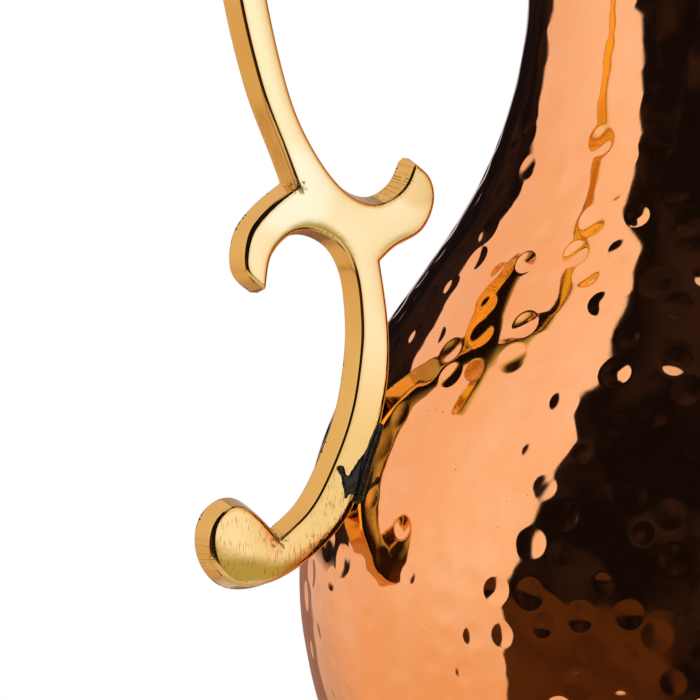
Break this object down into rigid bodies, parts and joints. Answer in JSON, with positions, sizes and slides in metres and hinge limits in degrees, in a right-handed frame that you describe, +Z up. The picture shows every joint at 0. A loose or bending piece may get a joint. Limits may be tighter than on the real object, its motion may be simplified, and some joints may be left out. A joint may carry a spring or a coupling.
{
  "type": "handled water pot",
  "caption": "Pear-shaped hammered copper water pot with a flared neck, a foot ring and a cast brass scroll handle soldered on.",
  "frame": {"origin": "on the pot's axis, at the centre of its flat underside", "axes": "+Z up along the pot's axis, -X towards the handle, +Y to the left of a person who holds the handle and faces the pot"},
  "size_m": [0.1856, 0.1604, 0.2161],
  "materials": {
    "hammered_copper": "hammered all over and polished bright",
    "rolled_copper": "polished",
    "plate_copper": "turned, dull polish",
    "cast_brass": "filed and polished, with a few file marks",
    "soft_solder": "dull dark grey tin-lead solder"
  },
  "bodies": {
    "root": {"pot_body": "hammered_copper", "rim_bead": "rolled_copper", "foot_ring": "rolled_copper", "base_disc": "plate_copper", "foot_solder": "soft_solder", "brass_handle": "cast_brass", "lower_solder_near": "soft_solder", "lower_solder_far": "soft_solder", "neck_solder_near": "soft_solder", "neck_solder_far": "soft_solder"}
  },
  "joints": []
}
